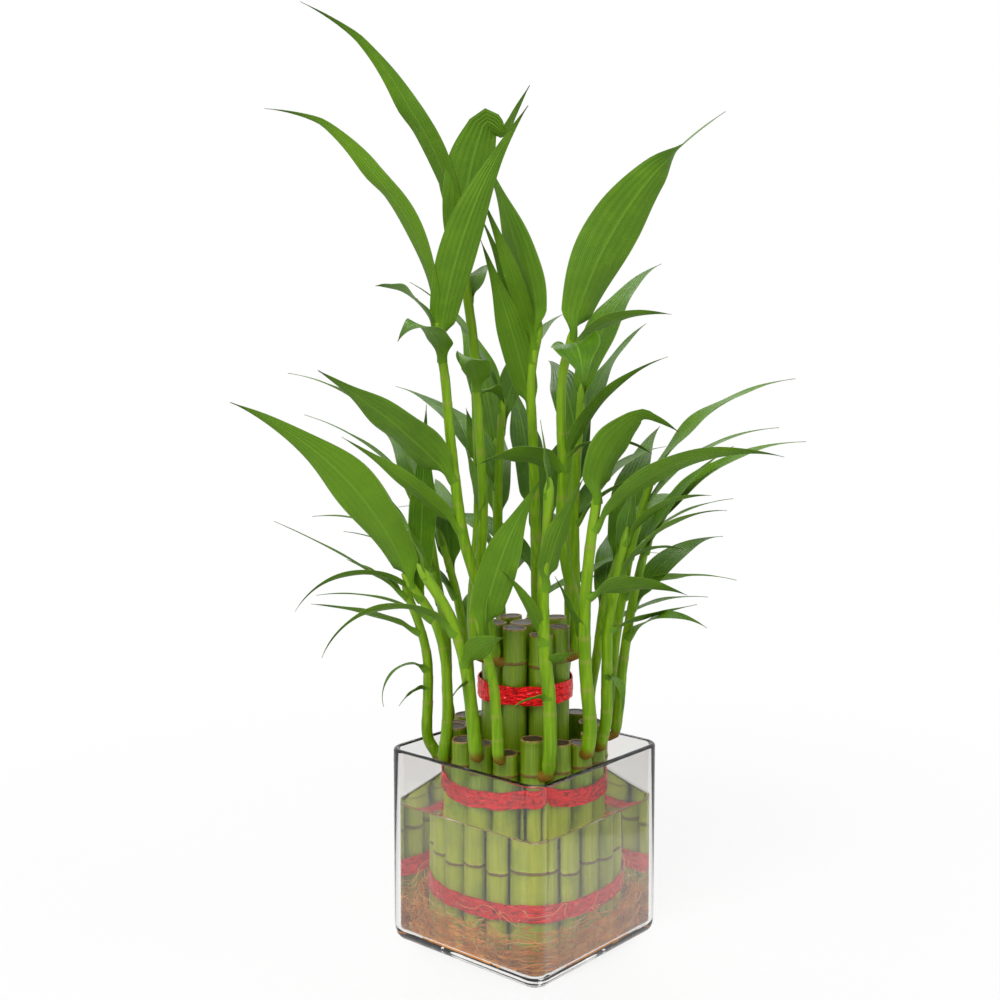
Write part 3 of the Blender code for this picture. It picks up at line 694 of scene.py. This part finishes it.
shoots += tuple(back_shoot(cane, top, lean, leaf_count) for cane, top, lean, leaf_count in (
    (4, 190, 12, 4), (5, 222, 22, 4), (6, 178, 20, 4), (7, 226, 12, 5),
    (8, 200, 18, 4), (9, 232, 10, 5), (10, 186, 20, 4), (11, 212, 14, 4)))
# Steps over the round tip of a stem, and its length.
stem_sides, tip_steps, tip_length = 14, (1.5, 3, 4.5, 6), 6.1
for number, shoot in enumerate(shoots):
    name = f"{shoot.tier}_shoot_{shoot.cane + 1:02d}"
    pick = random.Random(100 + number)
    centre, radius, _, _ = canes[f"{shoot.tier}_cane_{shoot.cane + 1:02d}"]
    first = Vector(shoot.route[0])
    away = Vector((first.x - centre.x, first.y - centre.y, 0)).normalized()
    foot = centre + away * (radius + 0.35) + Vector((0, 0, first.z - 4.5))
    elbow = foot.lerp(first, 0.5) + (away - Vector((0, 0, 1))) * 0.2 * (first - foot).length
    coarse = [foot, elbow] + smooth_route(shoot.route, 1)
    root = centre + away * (radius - 1.0) + Vector((0, 0, foot.z))
    fine = [root, foot, elbow] + smooth_route(shoot.route, 14)
    lead = (fine[-1] - fine[-4]).normalized()
    tip = fine[-1]
    fine += [tip + lead * reach for reach in tip_steps]

    # Old leaf joints ring the stem.
    heights, height = [], first.z + pick.uniform(2, 6)
    while height < tip.z - 6:
        heights.append(height)
        height += pick.uniform(9, 13)
    rings, across_way = [], None
    shoot_marks = {mark: [] for mark in
                   ("across", "along", "under", "tint", "stem", "joint", "foot", "height")}
    for i, point in enumerate(fine):
        way = (fine[min(i + 1, len(fine) - 1)] - fine[max(i - 1, 0)]).normalized()
        if across_way is None:
            across_way = way.orthogonal().normalized()
        across_way = (across_way - way * across_way.dot(way)).normalized()
        share = max(0.0, (point.z - first.z) / (tip.z - first.z))
        size = shoot.radius * mixed(1.0, 0.7, min(share, 1.0)) * (0.85 if i < 3 else 1.0)
        past = (point - tip).length if i >= len(fine) - len(tip_steps) else 0.0
        size *= math.sqrt(max(1 - past / tip_length, 0.005))
        below = max((h for h in heights if h <= point.z), default=first.z - 6)
        since = point.z - below
        size += 0.18 * math.exp(-(since / 0.9) ** 2) + 0.014 * min(since, 12)
        ring = []
        for k in range(stem_sides):
            angle = 2 * math.pi * k / stem_sides
            spoke = across_way * math.cos(angle) + way.cross(across_way) * math.sin(angle)
            ring.append(point + size * spoke)
        rings.append(ring)
        marks = {"stem": 1.0, "joint": math.exp(-(since / 0.8) ** 2) if past == 0 else 0.0, "tint": 0.5,
                 "foot": 1 - smooth((point.z - foot.z) / 7), "height": min(share, 1.0)}
        for mark, values in shoot_marks.items():
            values += [marks.get(mark, 0.0)] * stem_sides
    points, faces = loft(rings)

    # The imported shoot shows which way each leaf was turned, or how far it was shortened, to clear the rest.
    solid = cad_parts[name].data
    solid_points = KDTree(len(solid.vertices))
    back = TURN.transposed()
    for i, vertex in enumerate(solid.vertices):
        solid_points.insert(back @ vertex.co / MM, i)
    solid_points.balance()
    for leaf in shoot.leaves:
        base = point_at_height(coarse, leaf.height)
        found = settled(base, leaf, solid_points)
        if found is None:
            print(f"{name}: no leaf at {leaf.height}")
            continue
        share = min(max((leaf.height - first.z) / (tip.z - first.z), 0), 1)
        more, more_faces, marks = leaf_blade(base, found, shoot.radius * mixed(1, 0.7, share), pick)
        faces += [tuple(i + len(points) for i in face) for face in more_faces]
        points += more
        marks["tint"] = [pick.uniform(0.1, 0.9)] * len(more)
        for mark, values in shoot_marks.items():
            values += marks.get(mark, [0.0] * len(more))
    make_piece(name.replace("shoot", "sprout"), points, faces, leaf_look.material, "leaf", [name],
               shoot_marks, TURN, sharp=60)

# ---------------------------------------------------------------------------------------------------
# Roots
# Fine orange-brown roots that grew from the canes' feet and lie tangled between them and the glass, with
# some paler young ones. Each lot is copies of one line that noise leads astray, kept inside the glass.
# ---------------------------------------------------------------------------------------------------


class Growth(Tree):
    """A Geometry Nodes tree as it is put together, with named inputs."""

    def __init__(self, name, inputs):
        super().__init__(bpy.data.node_groups.new(name, "GeometryNodeTree"))
        self.values = {}
        for label, (kind, value) in inputs.items():
            socket = self.tree.interface.new_socket(label, in_out="INPUT", socket_type=kind)
            self.values[socket.identifier] = value
        self.tree.interface.new_socket("Geometry", in_out="OUTPUT", socket_type="NodeSocketGeometry")
        self.given = self.tree.nodes.new("NodeGroupInput")

    def input(self, label):
        return self.number(self.given, label)

    def pick(self, low, high, turn, seed):
        """A random number for each value of turn."""
        inputs = {2: low, 3: high, "ID": turn, "Seed": seed}
        return self.number(self.node("FunctionNodeRandomValue", {}, inputs), 1)

    def grow(self, name, geometry, material, slot, nodes=()):
        """Ends the tree, and makes what it grows a plain piece of the object."""
        real = self.node("GeometryNodeRealizeInstances", {}, {0: geometry}).outputs[0]
        painted = self.node("GeometryNodeSetMaterial", {}, {"Geometry": real, "Material": material})
        smoothed = self.node("GeometryNodeSetShadeSmooth", {}, {0: painted.outputs[0]})
        self.tree.links.new(smoothed.outputs[0], self.tree.nodes.new("NodeGroupOutput").inputs[0])
        seedling = bpy.data.objects.new(name + "_seed", bpy.data.meshes.new(name + "_seed"))
        bpy.context.scene.collection.objects.link(seedling)
        modifier = seedling.modifiers.new(name, "NODES")
        modifier.node_group = self.tree
        for identifier, value in self.values.items():
            modifier[identifier] = value
        graph = bpy.context.evaluated_depsgraph_get()
        grown = bpy.data.meshes.new_from_object(seedling.evaluated_get(graph))
        bpy.data.objects.remove(seedling)
        grown.name = name
        add_piece(name, grown, slot, nodes)


# How far out the canes' sides, the middle of the roots and the glass are, and how high its floor is.
cane_side, root_way, glass_inside, root_floor = 40.6, 42.5, 43.7, 5.9


def root_strands(name, count, seed, spread, low, high, thick, material, nodes=()):
    """Strands that wander round the canes' feet, each on its own course, kept inside the glass."""
    tree = Growth(name, {"Strands": ("NodeSocketInt", count), "Seed": ("NodeSocketInt", seed),
                         "Spread": ("NodeSocketFloat", spread), "Thickness": ("NodeSocketFloat", thick)})
    line = tree.node("GeometryNodeCurvePrimitiveLine").outputs[0]
    line = tree.node("GeometryNodeResampleCurve", {}, {"Curve": line, "Count": 30}).outputs[0]
    copies = tree.node("GeometryNodeDuplicateElements", {"domain": "SPLINE"},
                       {"Geometry": line, "Amount": tree.input("Strands")})
    turn, start = tree.number(copies, 1), tree.input("Seed")
    share = tree.number(tree.node("GeometryNodeSplineParameter"), "Factor")
    run = tree.pick(-1.3, 1.3, turn, start)
    angle = tree.pick(0.0, 2 * math.pi, turn, start + 1) + run * share

    def drift(size, layer):
        """How far the strand is led off its course, from -1 to 1, by waves of this many to its length."""
        spot = {0: share * size, 1: turn * 0.37, 2: start + layer * 3.1}
        place = tree.node("ShaderNodeCombineXYZ", {}, spot)
        wave = tree.node("ShaderNodeTexNoise", {}, {"Vector": place.outputs[0], "Scale": 1.0, "Detail": 1.5})
        return tree.number(wave, "Fac") * 2 - 1

    angle = angle + drift(3.2, 1) * 0.45
    reach = root_way + drift(3.0, 2) * 9 * tree.input("Spread") + tree.pick(0.0, 7.0, turn, start + 2)
    reach = reach.most(cane_side)
    rise = tree.pick(0.0, 1.0, turn, start + 3)
    rise = low + rise * rise * (high - low) + drift(4.0, 3) * 13 * tree.input("Spread")
    rise = rise.most(root_floor)
    x = (angle.cosine() * reach).most(-glass_inside).least(glass_inside)
    y = (angle.sine() * reach).most(-glass_inside).least(glass_inside)
    place = tree.node("ShaderNodeCombineXYZ", {}, {0: x * MM, 1: y * MM, 2: rise * MM})
    strands = tree.node("GeometryNodeSetPosition", {},
                        {"Geometry": copies.outputs[0], "Position": place.outputs[0]})
    size = tree.pick(0.45, 1.0, turn, start + 4) * (1 - share * 0.65) * tree.input("Thickness") * MM
    circle = tree.node("GeometryNodeCurvePrimitiveCircle", {}, {"Resolution": 4, "Radius": 1.0})
    tubes = tree.node("GeometryNodeCurveToMesh", {},
                      {"Curve": strands.outputs[0], "Profile Curve": circle.outputs[0], "Scale": size,
                       "Fill Caps": True})
    tree.grow(name, tubes.outputs[0], material, "roots", nodes)


root_look = Look("roots", {"Roughness": 0.55, "Specular IOR Level": 0.3})
patches = root_look.noise(160, 2).ramp(0.35, 0.7)
root_look.set("Base Color", root_look.mix(patches, (0.62, 0.19, 0.006), (0.86, 0.38, 0.04)))
pale_look = Look("pale_roots", {"Base Color": (0.85, 0.58, 0.22), "Roughness": 0.5,
                                "Specular IOR Level": 0.3})
root_strands("root_tangle", 620, 3, 0.75, 6.0, 21.0, 0.36, root_look.material, ["root_mat"])
root_strands("root_wisps", 90, 40, 1.3, 8.0, 30.0, 0.2, pale_look.material)

# ---------------------------------------------------------------------------------------------------
# Water drops
# The leaves of three inner shoots were sprayed: small flattened drops of clear water stand on their upper
# faces, scattered by one tree that leaves out the stem and the undersides.
# ---------------------------------------------------------------------------------------------------
drop_look = Look("drops", {"Base Color": (1, 1, 1), "Roughness": 0.0, "IOR": 1.333,
                           "Transmission Weight": 1.0})
drop_look.let_light_through((1, 1, 1))
for name, seed in (("inner_sprout_01", 1), ("inner_sprout_07", 2), ("inner_sprout_05", 3)):
    tree = Growth(name.replace("sprout", "drops"), {"Leaves": ("NodeSocketObject", bpy.data.objects[name]),
                                                    "Seed": ("NodeSocketInt", seed)})
    leaves = tree.node("GeometryNodeObjectInfo", {}, {"Object": tree.given.outputs["Leaves"]})
    on_stem, underside = (
        tree.number(tree.node("GeometryNodeInputNamedAttribute", {"data_type": "FLOAT"}, {"Name": mark}))
        for mark in ("stem", "under"))
    upper = tree.node("FunctionNodeCompare", {"operation": "LESS_THAN"}, {0: on_stem + underside, 1: 0.1})
    spots = tree.node("GeometryNodeDistributePointsOnFaces", {},
                      {"Mesh": leaves.outputs["Geometry"], "Selection": upper.outputs[0], "Density": 14000.0,
                       "Seed": tree.input("Seed")})
    ball = tree.node("GeometryNodeMeshIcoSphere", {}, {"Radius": 1.0, "Subdivisions": 2})
    index = tree.number(tree.node("GeometryNodeInputIndex"))
    size = tree.pick(0.0, 1.0, index, tree.input("Seed"))
    size = (0.16 + size * size * size * 0.62) * MM
    flat = tree.node("ShaderNodeCombineXYZ", {}, {0: size, 1: size, 2: size * 0.55})
    drops = tree.node("GeometryNodeInstanceOnPoints", {},
                      {"Points": spots.outputs["Points"], "Instance": ball.outputs[0],
                       "Rotation": spots.outputs["Rotation"], "Scale": flat.outputs[0]})
    tree.grow(name.replace("sprout", "drops"), drops.outputs[0], drop_look.material, "water")

# ---------------------------------------------------------------------------------------------------
# Floor, light and camera
# A plain white studio floor and surround. A large soft key lamp stands at the front left, a weaker one
# fills the right, and a third lights the leaves from behind.
# ---------------------------------------------------------------------------------------------------


def seen_directly(tree):
    """1 for the rays that show the background: those of the camera, of gloss and of clear pieces."""
    path = tree.node("ShaderNodeLightPath")
    seen = tree.number(path, "Is Camera Ray")
    return seen.most(tree.number(path, "Is Glossy Ray")).most(tree.number(path, "Is Transmission Ray"))


floor_look = Look("floor", {"Base Color": (0.85, 0.85, 0.85), "Roughness": 0.9})
distance = floor_look.number(floor_look.node("ShaderNodeVectorMath", {"operation": "LENGTH"},
                                             {0: floor_look.place()}), "Value")
plain = floor_look.node("ShaderNodeEmission", {}, {"Color": (1, 1, 1), "Strength": 1.0})
floor_look.surface(seen_directly(floor_look) * (0.8 + distance.ramp(0.1, 0.6) * 0.2), plain)
floor_mesh = bpy.data.meshes.new("floor")
reach, below = 4.0, -0.0002
floor_mesh.from_pydata([(-reach, -reach, below), (reach, -reach, below), (reach, reach, below),
                        (-reach, reach, below)], [], [(0, 1, 2, 3)])
floor_mesh.materials.append(floor_look.material)
floor = bpy.data.objects.new("floor", floor_mesh)
bpy.context.scene.collection.objects.link(floor)

world = bpy.data.worlds.new("studio")
bpy.context.scene.world = world
world.use_nodes = True
world.node_tree.nodes.clear()
sky = Tree(world.node_tree)
soft = sky.node("ShaderNodeBackground", {}, {"Color": (1, 1, 1), "Strength": 0.45})
plain = sky.node("ShaderNodeBackground", {}, {"Color": (1, 1, 1), "Strength": 1.0})
both = sky.node("ShaderNodeMixShader", {}, {0: seen_directly(sky), 1: soft.outputs[0], 2: plain.outputs[0]})
sky.join(sky.node("ShaderNodeOutputWorld").inputs["Surface"], both.outputs[0])

aim = Vector((0, 0, 0.2))
for name, compass, rise, away, size, power in (("key", -75, 48, 1.3, 0.9, 12), ("fill", 35, 20, 1.5, 1.0, 4),
                                               ("back", 130, 50, 1.4, 0.8, 6)):
    lamp = bpy.data.lights.new(name, "AREA")
    lamp.shape, lamp.size, lamp.energy = "DISK", size, power
    holder = bpy.data.objects.new(name, lamp)
    up = math.radians(rise)
    holder.location = aim + polar(away * math.cos(up), compass, away * math.sin(up))
    holder.rotation_euler = (aim - holder.location).to_track_quat("-Z", "Y").to_euler()
    bpy.context.scene.collection.objects.link(holder)

camera = bpy.data.cameras.new("camera")
camera.lens, camera.sensor_width, camera.shift_y = 54, 36, -0.035
eye = bpy.data.objects.new("camera", camera)
eye.location = (0.4514, -0.5376, 0.3062)
eye.rotation_euler = (math.radians(83.8), 0, math.radians(41))
bpy.context.scene.collection.objects.link(eye)
bpy.context.scene.camera = eye
bpy.context.scene.view_settings.view_transform = "Standard"
